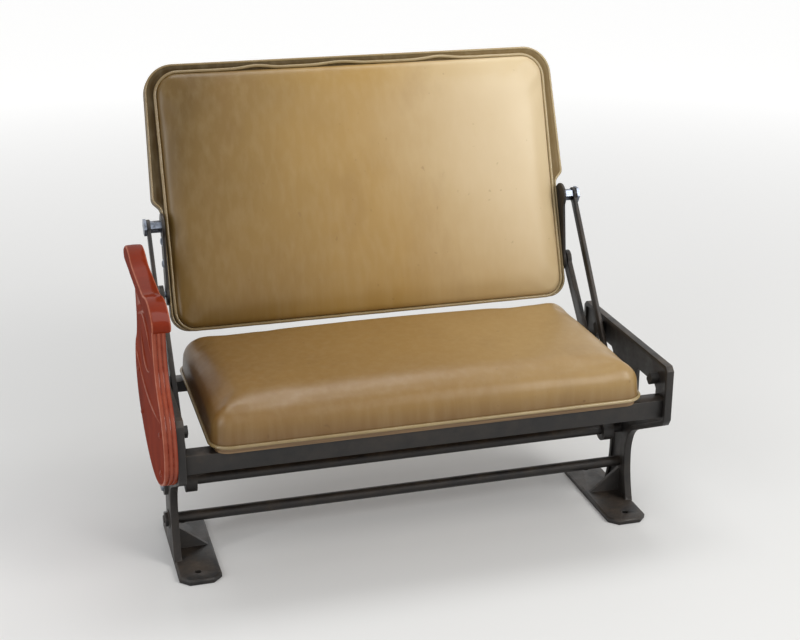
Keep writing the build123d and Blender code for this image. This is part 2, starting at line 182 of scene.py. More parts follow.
def tangentArc(start, end, tangent, count):
    # the points after start on the arc that leaves it along tangent, and the direction at the end
    p = Vector(start)
    d = Vector(end) - p
    t = Vector(tangent).normalized()
    n = Vector((-t.y, t.x))
    centre = p + n / (2 * n.dot(d) / d.length_squared)
    turn = 2 * math.atan2(n.dot(d), t.dot(d))
    return arcPoints(centre, p - centre, turn, count)[1:], Matrix.Rotation(turn, 2) @ t


def threePointArc(a, b, c, count):
    # the arc that starts at a, goes through b and ends at c
    a, b, c = Vector(a), Vector(b), Vector(c)
    u, v = b - a, c - a
    away = (v * u.length_squared - u * v.length_squared) / (2 * u.cross(v))
    centre = a + Vector((away.y, -away.x))
    start, middle, end = a - centre, b - centre, c - centre
    turn = turnBetween(start, end)
    if (turnBetween(start, middle) > 0) != (turn > 0):
        turn -= math.copysign(2 * math.pi, turn)
    return arcPoints(centre, start, turn, count)


def arcsOn(points, tangent, ends):
    # arcs that run on from the last point through every end, each given with its steps
    for end, count in ends:
        arc, tangent = tangentArc(points[-1], end, tangent, count)
        points = points + arc
    return points


def arcJoin(level, corner, radius):
    # where the arc that leaves a point level runs into a corner circle
    run, rise = corner.x - level.x, corner.y - level.y
    big = (run ** 2 + rise ** 2 - radius ** 2) / (2 * (abs(rise) - radius))
    centre = level + Vector((0, math.copysign(big, rise)))
    return corner + (corner - centre).normalized() * radius


def straight(a, b, count):
    return [Vector(a).lerp(Vector(b), i / count) for i in range(1, count + 1)]


def mirrorHalf(half):
    # half runs from the middle line round to the middle line
    return half + [Vector((-p.x, p.y)) for p in reversed(half)][1:-1]


def roundedOutline(corners, count):
    # a closed outline from corners given as x, y and radius
    points = []
    for i, (x, y, radius) in enumerate(corners):
        p = Vector((x, y))
        u = (Vector(corners[i - 1][:2]) - p).normalized()
        v = (Vector(corners[(i + 1) % len(corners)][:2]) - p).normalized()
        half = math.acos(max(-1, min(1, u.dot(v)))) / 2
        centre = p + (u + v).normalized() * (radius / math.sin(half))
        start = p + u * (radius / math.tan(half)) - centre
        end = p + v * (radius / math.tan(half)) - centre
        points += arcPoints(centre, start, turnBetween(start, end), count)
    return points


def densify(points, step):
    # a closed outline with no stretch longer than step
    dense = []
    for a, b in zip(points, points[1:] + points[:1]):
        n = max(1, math.ceil((b - a).length / step))
        dense += [a.lerp(b, k / n) for k in range(n)]
    return dense


def outlineNormals(points):
    # outward directions in the plane of a closed outline
    before, after = points[-1:] + points[:-1], points[1:] + points[:1]
    sign = math.copysign(1, sum(p.cross(q) for p, q in zip(points, after)))
    ways = [(q - p).normalized() for p, q in zip(before, after)]
    return [Vector((way.y, -way.x)) * sign for way in ways]


def drawnIn(outline, ways, inset):
    return [p - way * inset for p, way in zip(outline, ways)]


def wrapGrid(name, rings, **values):
    # a grid laid along closed rings of points, joined at its seam and filled at both ends
    rings = np.array([[tuple(p) for p in ring] for ring in rings])
    rows, count = rings.shape[:2]
    bpy.ops.mesh.primitive_grid_add(x_subdivisions=count, y_subdivisions=rows - 1, size=1)
    wrap = named(name)
    cells = meshVerts(wrap)
    column = np.rint((cells[:, 0] + 0.5) * count).astype(int) % count
    row = np.rint((cells[:, 1] + 0.5) * (rows - 1)).astype(int)
    setVerts(wrap, rings[row, column])
    for label, levels in values.items():
        paint(wrap, label, np.array(levels, float)[row])
    editAll(wrap)
    bpy.ops.mesh.remove_doubles(threshold=mergeDistance)
    bpy.ops.mesh.select_all(action="SELECT")
    bpy.ops.mesh.fill_holes(sides=0)
    return faceOut(wrap)


# nodes of the materials

def linear(rgb):
    # a colour written from 0 to 255, as the nodes take it
    parts = [c / 255 for c in rgb]
    return (*(c / 12.92 if c <= 0.04045 else ((c + 0.055) / 1.055) ** 2.4 for c in parts), 1)


def feed(node, socket, value):
    # the value is a number, a colour or another node's output
    if hasattr(value, "is_output"):
        node.id_data.links.new(value, node.inputs[socket])
    else:
        node.inputs[socket].default_value = value


def newMaterial(name, roughness, metallic=0.0):
    material = bpy.data.materials.new(name)
    material.use_nodes = True
    shader = material.node_tree.nodes["Principled BSDF"]
    feed(shader, "Roughness", roughness)
    feed(shader, "Metallic", metallic)
    return material, material.node_tree, shader


def addNode(tree, kind, place, inputs=None, **settings):
    node = tree.nodes.new("ShaderNode" + kind)
    node.location = place
    setAll(node, settings)
    for socket, value in (inputs or {}).items():
        feed(node, socket, value)
    return node


def ramp(tree, place, source, stops):
    node = addNode(tree, "ValToRGB", place, {"Fac": source})
    band = node.color_ramp
    while len(band.elements) < len(stops):
        band.elements.new(0.5)
    for element, (position, rgb) in zip(band.elements, stops):
        element.position = position
        element.color = linear(rgb)
    return node.outputs["Color"]


def mixColour(tree, place, factor, source, rgb):
    return addNode(tree, "Mix", place, {0: factor, 6: source, 7: linear(rgb)}, data_type="RGBA").outputs[2]


def calculate(tree, place, operation, a, b, c=0.0, clamp=False):
    return addNode(tree, "Math", place, {0: a, 1: b, 2: c}, operation=operation, use_clamp=clamp).outputs[0]


def spread(tree, place, value, fromMin, fromMax, toMin=0.0, toMax=1.0):
    inputs = {"Value": value, "From Min": fromMin, "From Max": fromMax, "To Min": toMin, "To Max": toMax}
    return addNode(tree, "MapRange", place, inputs).outputs["Result"]


def onObject(tree, place):
    return addNode(tree, "TexCoord", place).outputs["Object"]


def noiseOn(tree, place, scale, detail=4.0, roughness=0.6, stretch=None):
    # noise on the object's own coordinates, stretched where the pattern has a direction
    x, y = place
    source = onObject(tree, (x - 400, y))
    if stretch:
        source = addNode(tree, "Mapping", (x - 200, y), {"Vector": source, "Scale": stretch}).outputs[0]
    inputs = {"Vector": source, "Scale": scale, "Detail": detail, "Roughness": roughness}
    return addNode(tree, "TexNoise", place, inputs).outputs["Fac"]


def painted(tree, place, name):
    return addNode(tree, "Attribute", place, attribute_name=name).outputs["Fac"]


def bumpFrom(tree, place, height, strength, distance, **before):
    inputs = {"Height": height, "Strength": strength, "Distance": distance, **before}
    return addNode(tree, "Bump", place, inputs).outputs["Normal"]


# effects that several materials share

def newGroup(name, inputs, output):
    group = bpy.data.node_groups.new(name, "ShaderNodeTree")
    for label, value in inputs.items():
        group.interface.new_socket(label, in_out="INPUT", socket_type="NodeSocketFloat").default_value = value
    group.interface.new_socket(output, in_out="OUTPUT", socket_type="NodeSocketFloat")
    return group, group.nodes.new("NodeGroupInput").outputs


def putOut(group, value):
    group.links.new(value, group.nodes.new("NodeGroupOutput").inputs[0])
    return group


def useGroup(tree, group, place, values):
    return addNode(tree, "Group", place, values, node_tree=group).outputs[0]


def makeEdgeWearAndHighlight():
    # pale arrises, broken up: painted highlight with wear where the pieces carry it, and rounded edges worn
    # pale, which also stand in for their highlights
    group, given = newGroup("edgeWearAndHighlight", {"Radius": 0.003, "Break Scale": 60.0, "Amount": 0.5}, "Mask")
    bevel = addNode(group, "Bevel", (-700, 200), {"Radius": given["Radius"]}, samples=6).outputs["Normal"]
    normal = addNode(group, "NewGeometry", (-700, 50)).outputs["Normal"]
    turned = addNode(group, "VectorMath", (-500, 150), {0: bevel, 1: normal}, operation="DOT_PRODUCT")
    edge = spread(group, (-320, 150), turned.outputs["Value"], 0.985, 0.80)
    breakUp = noiseOn(group, (-500, -250), given["Break Scale"], 4.0, 0.65)
    level = spread(group, (-300, -250), breakUp, 0.34, 0.60)
    broken = calculate(group, (-100, 100), "MULTIPLY", edge, level)
    softer = calculate(group, (-100, -200), "MULTIPLY_ADD", level, 0.45, 0.55)
    # painted highlight with wear, read from the pieces
    patchy = calculate(group, (60, -100), "MULTIPLY", painted(group, (-100, -350), "worn"), softer)
    both = calculate(group, (220, 0), "MAXIMUM", broken, patchy)
    return putOut(group, calculate(group, (400, 0), "MULTIPLY", both, given["Amount"], clamp=True))


def makeDust():
    # settled dust: more on what looks up, and patchy
    group, given = newGroup("dust", {"Scale": 9.0, "Amount": 0.4}, "Mask")
    normal = addNode(group, "NewGeometry", (-800, 100)).outputs["Normal"]
    height = addNode(group, "SeparateXYZ", (-620, 100), {0: normal}).outputs["Z"]
    up = spread(group, (-440, 100), height, -0.2, 1.0, 0.12, 1.0)
    level = spread(group, (-400, -200), noiseOn(group, (-600, -200), given["Scale"], 6.0, 0.7), 0.38, 0.75)
    both = calculate(group, (-200, 0), "MULTIPLY", up, level)
    return putOut(group, calculate(group, (0, 0), "MULTIPLY", both, given["Amount"], clamp=True))


def makeGrain():
    # fine pressed grain of a coated cloth
    group, given = newGroup("vinylGrain", {"Scale": 420.0}, "Height")
    source = onObject(group, (-1100, 0))
    warp = addNode(group, "TexNoise", (-900, -200), {"Vector": source, "Scale": 90.0, "Detail": 2.0})
    push = addNode(group, "VectorMath", (-700, -200), {0: warp.outputs["Color"], 3: 0.006}, operation="SCALE")
    shifted = addNode(group, "VectorMath", (-500, 0), {0: source, 1: push.outputs[0]}, operation="ADD")
    inputs = {"Vector": shifted.outputs[0], "Scale": given["Scale"]}
    cells = addNode(group, "TexVoronoi", (-300, 100), inputs, feature="DISTANCE_TO_EDGE").outputs["Distance"]
    creases = spread(group, (-100, 100), cells, 0.0, 0.12)
    fine = noiseOn(group, (-300, -200), 1500.0, 2.0, 0.5)
    return putOut(group, calculate(group, (120, 0), "MULTIPLY_ADD", fine, 0.25, creases))


edgeWearAndHighlight, dustSpread, vinylGrain = makeEdgeWearAndHighlight(), makeDust(), makeGrain()


# paint on iron: patchy, rubbed through and with painted highlights at the edges and crests, painted shade
# with grime in the hollows where given, and dusty

enamelLook = {                 # thick old gloss paint, brushed on over the casting
    "roughness": 0.30, "gloss": (0.24, 0.38), "specular": 0.0,
    "patches": (9.0, 5.0),
    "colours": [(0.28, (114, 36, 17)), (0.55, (131, 44, 21)), (0.80, (146, 55, 28))],
    # the grime colour is painted shade with grime in hollows; the worn colour is painted highlight with wear
    # on arrises and crests
    "grime": (52, 18, 14), "worn": (210, 134, 106), "dust": (124, 84, 58),
    "wearAndHighlight": {"Radius": 0.0022, "Break Scale": 38.0, "Amount": 0.74},
    "settled": {"Scale": 16.0, "Amount": 0.12},
    "coat": (0.06, 0.38),      # on the flat faces, and where hands and cleaning polish it
}

ironLook = {                   # black paint on rough iron
    "roughness": 0.45, "gloss": (0.34, 0.60), "specular": 0.4,
    "patches": (18.0, 6.0, 0.65),
    "colours": [(0.35, (19, 18, 18)), (0.60, (31, 29, 28)), (0.80, (50, 41, 35))],
    "worn": (116, 110, 104), "dust": (112, 96, 80),
    "wearAndHighlight": {"Radius": 0.0024, "Break Scale": 52.0, "Amount": 0.72},
    "settled": {"Scale": 12.0, "Amount": 0.46},
}


def wornPaint(name, look):
    material, tree, shader = newMaterial(name, look["roughness"])
    patches = noiseOn(tree, (-1300, 0), *look["patches"])
    colour = ramp(tree, (-1080, 0), patches, look["colours"])
    if "grime" in look:
        # painted shade with grime in the grooves and along the rear edge, where the pieces carry it
        grime = calculate(tree, (-1080, 250), "MULTIPLY", painted(tree, (-1300, 250), "grime"), 0.75)
        colour = mixColour(tree, (-860, 100), grime, colour, look["grime"])
    wearAndHighlight = useGroup(tree, edgeWearAndHighlight, (-1080, -300), look["wearAndHighlight"])
    dust = useGroup(tree, dustSpread, (-860, -500), look["settled"])
    # painted highlight with wear: the pale colour along arrises and crests
    colour = mixColour(tree, (-640, 0), wearAndHighlight, colour, look["worn"])
    feed(shader, "Base Color", mixColour(tree, (-420, 0), dust, colour, look["dust"]))
    feed(shader, "Roughness", spread(tree, (-640, -250), patches, 0.3, 0.7, *look["gloss"]))
    feed(shader, "Specular IOR Level", look["specular"])
    return material, tree, shader


def redEnamel():
    material, tree, shader = wornPaint("redEnamel", enamelLook)
    peel = noiseOn(tree, (-860, -750), 150.0, 3.0, 0.5)
    runs = noiseOn(tree, (-860, -950), 26.0, 2.0, 0.5)
    height = calculate(tree, (-640, -800), "MULTIPLY_ADD", runs, 3.0, peel)
    feed(shader, "Normal", bumpFrom(tree, (-420, -700), height, 0.16, 0.0012))
    polish = painted(tree, (-860, 400), "polish")
    feed(shader, "Coat Weight", spread(tree, (-640, 400), polish, 0.0, 1.0, *enamelLook["coat"]))
    feed(shader, "Coat Roughness", 0.12)
    return material


def blackIron():
    material, tree, shader = wornPaint("blackIron", ironLook)
    cast = noiseOn(tree, (-860, -750), 240.0, 4.0, 0.7)
    feed(shader, "Normal", bumpFrom(tree, (-420, -600), cast, 0.35, 0.0008))
    return material


# smooth coated cloth with painted light: paler towards +x and darker towards -x, most of all high up;
# painted shade with handling dirt near the seams, faint upright smears and a few specks

vinylLooks = {                 # dark, middle, pale, and the colour of dirt and painted shade; roughness, how far the painted light leans across x, and shine
    "tanVinyl": [(96, 72, 26), (168, 134, 73), (216, 194, 154), (116, 80, 34), 0.34, 0.36, 0.45],
    "edgeVinyl": [(58, 42, 14), (78, 59, 22), (114, 90, 42), (46, 33, 14), 0.30, 0.34, 0.14],
    # painted highlight: the piping's colour, made paler to stand in for its highlights
    "weltVinylAndHighlight": [(122, 101, 64), (152, 131, 88), (188, 168, 128), (88, 70, 40), 0.20, 0.25, 0.60],
    "seatVinyl": [(112, 82, 40), (142, 110, 60), (174, 144, 94), (98, 68, 34), 0.34, 0.32, 0.45],
}


def vinyl(name):
    *tones, soilAndShade, roughness, lean, shine = vinylLooks[name]
    material, tree, shader = newMaterial(name, roughness)
    clouds = noiseOn(tree, (-1500, 0), 2.6, 4.0, 0.5)
    place = addNode(tree, "SeparateXYZ", (-1700, -250), {0: onObject(tree, (-1900, -250))}).outputs
    # painted light and sheen: paler towards +x and darker towards -x, the more so higher up
    across = spread(tree, (-1500, -250), place["X"], -0.46, 0.44, -lean, lean)
    upward = spread(tree, (-1500, -450), place["Z"], 0.50, 0.95, 0.70, 1.25)
    paintedLight = calculate(tree, (-1300, -250), "MULTIPLY_ADD", across, upward, 0.36)
    tone = calculate(tree, (-1300, 0), "MULTIPLY_ADD", clouds, 0.28, paintedLight)
    base = ramp(tree, (-1120, 0), tone, list(zip((0.14, 0.50, 0.86), tones)))
    patchy = noiseOn(tree, (-1300, -500), 5.0, 6.0, 0.62, (1.0, 1.0, 0.45))
    soiled = spread(tree, (-1120, -400), patchy, 0.52, 0.80, 0.0, 0.30)
    specks = spread(tree, (-1120, -1000), noiseOn(tree, (-1300, -1000), 64.0, 1.0), 0.745, 0.79, 0.0, 0.26)
    dirty = calculate(tree, (-940, -1000), "ADD", soiled, specks)
    # painted shade with handling dirt near the seams, added to the dirt patches and specks
    grime = painted(tree, (-1120, -600), "grime")
    near = calculate(tree, (-940, -400), "MULTIPLY_ADD", grime, 0.7, dirty, True)
    marked = mixColour(tree, (-760, 0), near, base, soilAndShade)
    smears = noiseOn(tree, (-1300, -1250), 1.0, 3.0, 0.5, (62.0, 62.0, 2.0))
    wiped = spread(tree, (-1120, -1250), smears, 0.42, 0.78, 0.0, 0.06)
    # painted highlight with wear along the band's rounded edges, and faint wiped smears
    worn = painted(tree, (-1120, -800), "worn")
    wearAndHighlight = calculate(tree, (-940, -700), "MULTIPLY_ADD", worn, 0.55, wiped, True)
    feed(shader, "Base Color", mixColour(tree, (-540, 0), wearAndHighlight, marked, (222, 206, 170)))
    dull = spread(tree, (-760, -250), patchy, 0.3, 0.75, roughness - 0.04, roughness + 0.10)
    feed(shader, "Roughness", dull)
    grain = useGroup(tree, vinylGrain, (-760, -900), {"Scale": 560.0})
    fine = bumpFrom(tree, (-540, -800), grain, 0.10, 0.0003)
    feed(shader, "Normal", bumpFrom(tree, (-320, -700), clouds, 0.14, 0.010, Normal=fine))
    feed(shader, "Specular IOR Level", shine)
    return material


def brightSteel():
    # turned and plated steel, stained where it isn't rubbed
    material, tree, shader = newMaterial("brightSteel", 0.28, 1.0)
    stain = noiseOn(tree, (-1100, 0), 60.0, 5.0)
    stops = [(0.35, (92, 96, 104)), (0.60, (146, 154, 168)), (0.80, (92, 80, 70))]
    feed(shader, "Base Color", ramp(tree, (-880, 0), stain, stops))
    feed(shader, "Roughness", spread(tree, (-660, -200), stain, 0.3, 0.8, 0.24, 0.50))
    marks = noiseOn(tree, (-880, -450), 1.0, 2.0, 0.5, (900.0, 60.0, 60.0))
    feed(shader, "Normal", bumpFrom(tree, (-440, -400), marks, 0.15, 0.0003))
    return material


def plainFinish(name, roughness, pattern, stops, strength):
    # one pattern gives both the colour and the relief
    material, tree, shader = newMaterial(name, roughness)
    source = noiseOn(tree, (-800, 0), *pattern)
    feed(shader, "Base Color", ramp(tree, (-580, 0), source, stops))
    feed(shader, "Normal", bumpFrom(tree, (-360, -300), source, strength, 0.0006))
    return material


# each finish is a material and the slot that it stands for
redPaint = redEnamel(), "red_paint"
ironPaint = blackIron(), "black_iron"
steel = brightSteel(), "bright_steel"
padCover = vinyl("tanVinyl"), "tan_vinyl"
seatCover = vinyl("seatVinyl"), "tan_vinyl"
bandCover = vinyl("edgeVinyl"), "edge_vinyl"
pipingCover = vinyl("weltVinylAndHighlight"), "edge_vinyl"
rubber = plainFinish("stopRubber", 0.7, (90.0,), [(0.35, (24, 23, 22)), (0.70, (52, 49, 46))], 0.3), "rubber"
plywood = plainFinish("plywoodBoard", 0.6, (4.0, 8.0, 0.62, (2.0, 22.0, 220.0)),
                      [(0.30, (96, 74, 50)), (0.50, (128, 101, 70)), (0.72, (154, 125, 90))], 0.25), "plywood"
print("materials ready")


# ornamental plate on the aisle side

plateForm = {
    "frameFace": -0.527,       # x of the face against the frame
    "thickness": 0.027, "top": 0.599, "bottom": 0.203,       # its top is a little way into the arm
    "neck": (0.145, 0.525), "belly": (0.240, 0.345), "bellyRadius": 0.100,
    "steps": (8, 10, 24, 24, 34, 28),
    "reeds": 3, "reedSteps": 8, "grooveDepth": 0.0021,
    "reedWearAndHighlight": 0.35, "reedCrest": 0.8,      # the share of a reed's swell where its painted highlight with wear begins
    "grimeFade": 1.5,          # the more, the narrower the painted shade with grime in a groove
    "rear": (0.0014, 0.4),     # how far the rear edge is drawn in, and its painted shade with grime
    "arris": [                 # how far short of the face, how far drawn in, and the painted highlight with wear
        (0.0016, 0.0002, 0.5), (0.0005, 0.0008, 0.9), (0.0, 0.0021, 0.9), (0.0, 0.0048, 0.0),
    ],
    "smoothing": 38,
}
plateForm["face"] = plateForm["frameFace"] - plateForm["thickness"]


def plateOutline():
    f, (level, upright, *steps) = plateForm, plateForm["steps"]
    neck, belly, r = Vector(f["neck"]), Vector(f["belly"]), f["bellyRadius"]
    top, edge, bottom = Vector((0, f["top"])), Vector((neck.x, f["top"])), Vector((0, f["bottom"]))
    half = [top] + straight(top, edge, level) + straight(edge, neck, upright)
    join = arcJoin(bottom, Vector((belly.x - r, belly.y)), r)
    ends = (neck + belly) / 2, belly, join, bottom
    return mirrorHalf(arcsOn(half, (0, -1), zip(ends, steps)))


def bowl(t):
    # 0 at both ends, 1 in the middle, with rounded shoulders
    return math.sin(math.pi * t) ** 0.5 if 0 < t < 1 else 0.0


def buildPlate():
    f, outline = plateForm, plateOutline()
    ways = outlineNormals(outline)
    for i, p in enumerate(outline):
        if p.y > f["top"] - mergeDistance:
            # the top runs straight into the arm: only its two corners are drawn in, and sideways
            ways[i] = Vector((math.copysign(abs(p.x) > f["neck"][0] - mergeDistance, p.x), 0))
    # depth from the frame's face, how far the outline is drawn in, painted highlight with wear, and painted
    # shade with grime
    reed, (inset, grime) = f["thickness"] / f["reeds"], f["rear"]
    steps = [(0.0, inset, 0.0, grime)]
    for i in range(f["reeds"]):
        for k in range(1, f["reedSteps"] + 1):
            t = k / f["reedSteps"]
            swell = bowl(t)
            depth = reed * (i + (1 - math.cos(math.pi * t)) / 2)
            # painted highlight with wear on each reed's crest
            wearAndHighlight = f["reedWearAndHighlight"] * max(0, swell - f["reedCrest"]) / (1 - f["reedCrest"])
            steps.append((depth, f["grooveDepth"] * (1 - swell), wearAndHighlight, max(0, 1 - f["grimeFade"] * swell)))
    # the outer arris is rounded over onto the face
    steps = steps[:-3] + [(f["thickness"] - short, inset, wearAndHighlight, 0.0) for short, inset, wearAndHighlight in f["arris"]]
    depths, insets, wearAndHighlight, grime = zip(*steps)
    rings = [[(f["frameFace"] - depth, *p) for p in drawnIn(outline, ways, inset)]
             for depth, inset in zip(depths, insets)]
    return wrapGrid("endPlate", rings, worn=wearAndHighlight, grime=grime, polish=[1.0] * (len(steps) - 1) + [0.0])


# hollow between the arm's underside and the plate's face

coveForm = {
    "top": 0.598, "drop": 0.034, "reach": 0.0098, "bend": 1.15, "steps": 12,
    "sideGap": 0.0022,         # between its ends and the plate's edges
    "sink": 0.004,             # how far it goes into the plate
}


def buildCove():
    f, face, n = coveForm, plateForm["face"], coveForm["steps"]
    curve = []
    for k in range(n + 1):
        out = f["reach"] * (1 - math.sin(k * math.pi / (2 * n))) ** f["bend"]
        curve.append((face - out, f["top"] - f["drop"] * k / n))
    inside = face + f["sink"]
    section = [(inside, f["top"])] + curve + [(inside, curve[-1][1])]
    half = plateForm["neck"][0] - f["sideGap"]
    rings = [[(x, y, z) for x, z in section] for y in np.linspace(-half, half, n + 1)]
    return wrapGrid("cove", rings, polish=[1.0] * len(rings))


# raised lines on the plate's face

beadForm = {
    "height": 0.0026,
    "sink": 0.0004,            # how far its sides go into the face
    "back": 0.0015,            # thickness behind the face
    "endWidth": 0.15,          # share of the width left at both ends
    "taper": 0.7, "wearAndHighlightBend": 1.6, "steps": 56, "columns": 12,
    "lines": [                 # start, middle and end as y and z, and the width
        ((0.055, 0.533), (-0.036, 0.5455), (-0.105, 0.495), 0.0085),
        ((0.067, 0.502), (0.030, 0.4495), (-0.060, 0.452), 0.0085),
        ((-0.205, 0.398), (0.0, 0.3735), (0.205, 0.398), 0.0090),
        ((0.205, 0.400), (0.168, 0.3985), (0.128, 0.388), 0.0065),
    ],
}


def buildBead(name, line):
    # a line with a bell-shaped section that runs out to nothing at both ends
    f, face, steps = beadForm, plateForm["face"], beadForm["steps"]
    start, middle, end, width = line
    path = threePointArc(start, middle, end, steps)
    bpy.ops.mesh.primitive_grid_add(x_subdivisions=steps, y_subdivisions=f["columns"], size=1)
    bead = named(name)
    placed, wearAndHighlight = [], []
    for x, y, _ in meshVerts(bead):
        i, across = int(round((x + 0.5) * steps)), y * 2
        way = (path[min(i + 1, steps)] - path[max(i - 1, 0)]).normalized()
        grow = math.sin(math.pi * i / steps) ** f["taper"]
        side = across * width / 2 * (f["endWidth"] + (1 - f["endWidth"]) * grow)
        p = path[i] + Vector((-way.y, way.x)) * side
        bell = (math.cos(across * math.pi) + 1) / 2
        placed.append((face + f["sink"] - (f["height"] + f["sink"]) * bell * grow, p.x, p.y))
        # painted highlight with wear along the crest
        wearAndHighlight.append(bell ** f["wearAndHighlightBend"] * grow)
    setVerts(bead, placed)
    paint(bead, "worn", wearAndHighlight)
    paint(bead, "polish", wearAndHighlight)
    editAll(bead)
    bpy.ops.mesh.extrude_region_move(TRANSFORM_OT_translate={"value": (f["back"], 0, 0)})
    return faceOut(bead)


# screws through the plate

screwForm = {
    "radius": 0.0065, "height": 0.0032, "segments": 32, "slotHalf": 0.0011, "slotDepth": 0.0012,
    "sink": 0.001,             # how far the head goes into the face
    "spots": [(0.181, 0.362), (-0.181, 0.362), (0.160, 0.270), (-0.160, 0.270)],
    "firstTurn": 35, "nextTurn": 70,
}


def buildScrew():
    # a low round head with a slot, thick with paint, on x = 0 and facing -x
    f = screwForm
    rings = f["segments"] // 2
    bpy.ops.mesh.primitive_uv_sphere_add(segments=f["segments"], ring_count=rings, radius=f["radius"])
    screw = named("screw")
    coords = meshVerts(screw)
    for c in coords:
        out = max(c[2], -f["sink"])
        if abs(c[0]) < f["slotHalf"] and out > 0:
            out -= f["slotDepth"]
        c[:] = (-out * f["height"] / f["radius"], c[0], c[1])
    setVerts(screw, coords)
    paint(screw, "polish", np.ones(len(coords)))
    return faceOut(screw)


parts = [buildPlate(), buildCove()]
parts += [buildBead(f"bead{i}", line) for i, line in enumerate(beadForm["lines"])]
screw = buildScrew()
parts += copiesAt(screw, "screw", screwForm, plateForm["face"], screwForm["spots"])
bpy.data.objects.remove(screw)
endPlate = joinInto("endPlate", [smooth(part, plateForm["smoothing"]) for part in parts])
finishPiece(endPlate, "base", redPaint, "aisle_end_plate")
print("end plate ready")


# armrest

armForm = {
    "inner": -0.527,           # x of the side against the frame
    "width": 0.037, "halfLength": 0.250, "flat": (0.075, 0.626), "crest": (0.178, 0.640),
    "tipHeight": 0.611, "brow": 0.010, "chin": 0.015,
    "steps": (8, 14, 16, 18, 10, 12, 12),
    "arris": 0.0040, "sideInset": 0.0068,    # where the flat of each side begins
    "crown": 0.0012, "crownSteps": 6,
    "polish": 0.45, "smoothing": 45,
}


def armOutline():
    f, (level, *steps, under) = armForm, armForm["steps"]
    crest, flat, reach, height = Vector(f["crest"]), Vector(f["flat"]), f["halfLength"], f["tipHeight"]
    half = [Vector((0, flat.y))] + straight((0, flat.y), flat, level)
    join = arcJoin(crest, Vector((reach - f["brow"], height)), f["brow"])
    low = Vector((reach - f["chin"], height - f["chin"]))
    ends = (flat + crest) / 2, crest, join, Vector((reach, height)), low
    return mirrorHalf(arcsOn(half, (1, 0), zip(ends, steps)) + straight(low, (0, low.y), under))


def buildArm():
    f, outline = armForm, armOutline()
    normals = outlineNormals(outline)
    # depth from the inner side, and how far the outline is drawn in
    around = [(f["arris"] * (1 - math.cos(a)), f["arris"] * (1 - math.sin(a))) for a in quarterTurn]
    straightDepth = (f["width"] - 2 * f["arris"]) / f["crownSteps"]
    steps = [(0.0, f["sideInset"])] + around
    steps += [(f["arris"] + straightDepth * k, 0.0) for k in range(1, f["crownSteps"])]
    steps += [(f["width"] - depth, inset) for depth, inset in reversed(around)]
    steps.append((f["width"], f["sideInset"]))
    rings = []
    for depth, inset in steps:
        swell = f["crown"] * (1 - (2 * depth / f["width"] - 1) ** 2)
        ring = []
        for p, n in zip(outline, normals):
            ring.append((f["inner"] - depth, *(p - n * inset + Vector((0, swell * max(0, n.y))))))
        rings.append(ring)
    arm = smooth(wrapGrid("armTop", rings), f["smoothing"])
    # painted highlight with wear in the middle of the rounded edges, polished except on the sides that look
    # along x
    side = np.abs(meshVerts(arm, "normal")[:, 0])
    paint(arm, "worn", (4 * side ** 2 * (1 - side ** 2)) ** 2)
    paint(arm, "polish", f["polish"] * (1 - side ** 4))
    return arm


finishPiece(buildArm(), "base", redPaint, "aisle_armrest")
print("armrest ready")


# padding of the back and the seat

backPlace = Matrix.Translation((0, 0.252, 0.412)) @ Matrix.Rotation(math.radians(-20), 4, "X")

paddingForm = {
    "voxel": 0.0085, "domeBend": 0.6, "fill": 0.8,
    "sideBulge": (0.6, 0.0006),          # at this share of the straight side, and how far out
    "heldBelow": 0.6,                    # in voxels: what lies lower doesn't swell
    "grimeReach": 0.55,                  # share of the edge's height that the painted shade with grime reaches
    "frames": 20, "evening": 5,          # passes that even out how far the points moved
    "cloth": {
        "quality": 5, "mass": 0.4, "use_pressure": True, "uniform_pressure_force": 4.0,
        "tension_stiffness": 18, "compression_stiffness": 18, "shear_stiffness": 8,
        "bending_stiffness": 2.0, "vertex_group_mass": "held",
    },
}

padForm = {
    "halfWidth": 0.456, "low": 0.004, "high": 0.574, "corner": 0.042, "topCorner": 0.052,
    "coreHalf": 0.014, "edge": 0.0155, "roll": 0.0125, "dome": 0.0085, "drawIn": 0.0022,
    "cap": 0.0070, "sideCap": 0.0015,    # how far the face and the sides may swell
    "hollows": [(0.0, 0.20, 0.30, 0.0022)],     # x, y, reach and depth
}

cushionForm = {
    "halfWidth": 0.459, "low": -0.231, "high": 0.231, "corner": 0.040, "topCorner": 0.040,
    "base": 0.3373, "edge": 0.0747, "roll": 0.036, "dome": 0.0215, "drawIn": 0.0035,
    "cap": 0.0075, "sideCap": 0.0030,
    "hollows": [(-0.215, -0.02, 0.13, 0.0055), (0.225, -0.01, 0.14, 0.0050)],
}


def paddedOutline(f, out=0.0, count=10):
    x, low, high = f["halfWidth"] + out, f["low"] - out, f["high"] + out
    r, top = f["corner"] + out, f["topCorner"] + out
    return roundedOutline([(x, low, r), (x, high, top), (-x, high, top), (-x, low, r)], count)


def neighbourMean(obj, field, passes):
    # each point takes half of its neighbours' mean, several times over
    edges = np.zeros(len(obj.data.edges) * 2, int)
    obj.data.edges.foreach_get("vertices", edges)
    a, b = edges.reshape(-1, 2).T
    count = np.bincount(np.concatenate((a, b)), minlength=len(field))[:, None]
    for _ in range(passes):
        total = np.zeros_like(field)
        np.add.at(total, a, field[b])
        np.add.at(total, b, field[a])
        field = 0.5 * field + 0.5 * total / count
    return field


def held(values, limit):
    # values run up towards the limit and never past it
    return limit * np.tanh(values / limit)


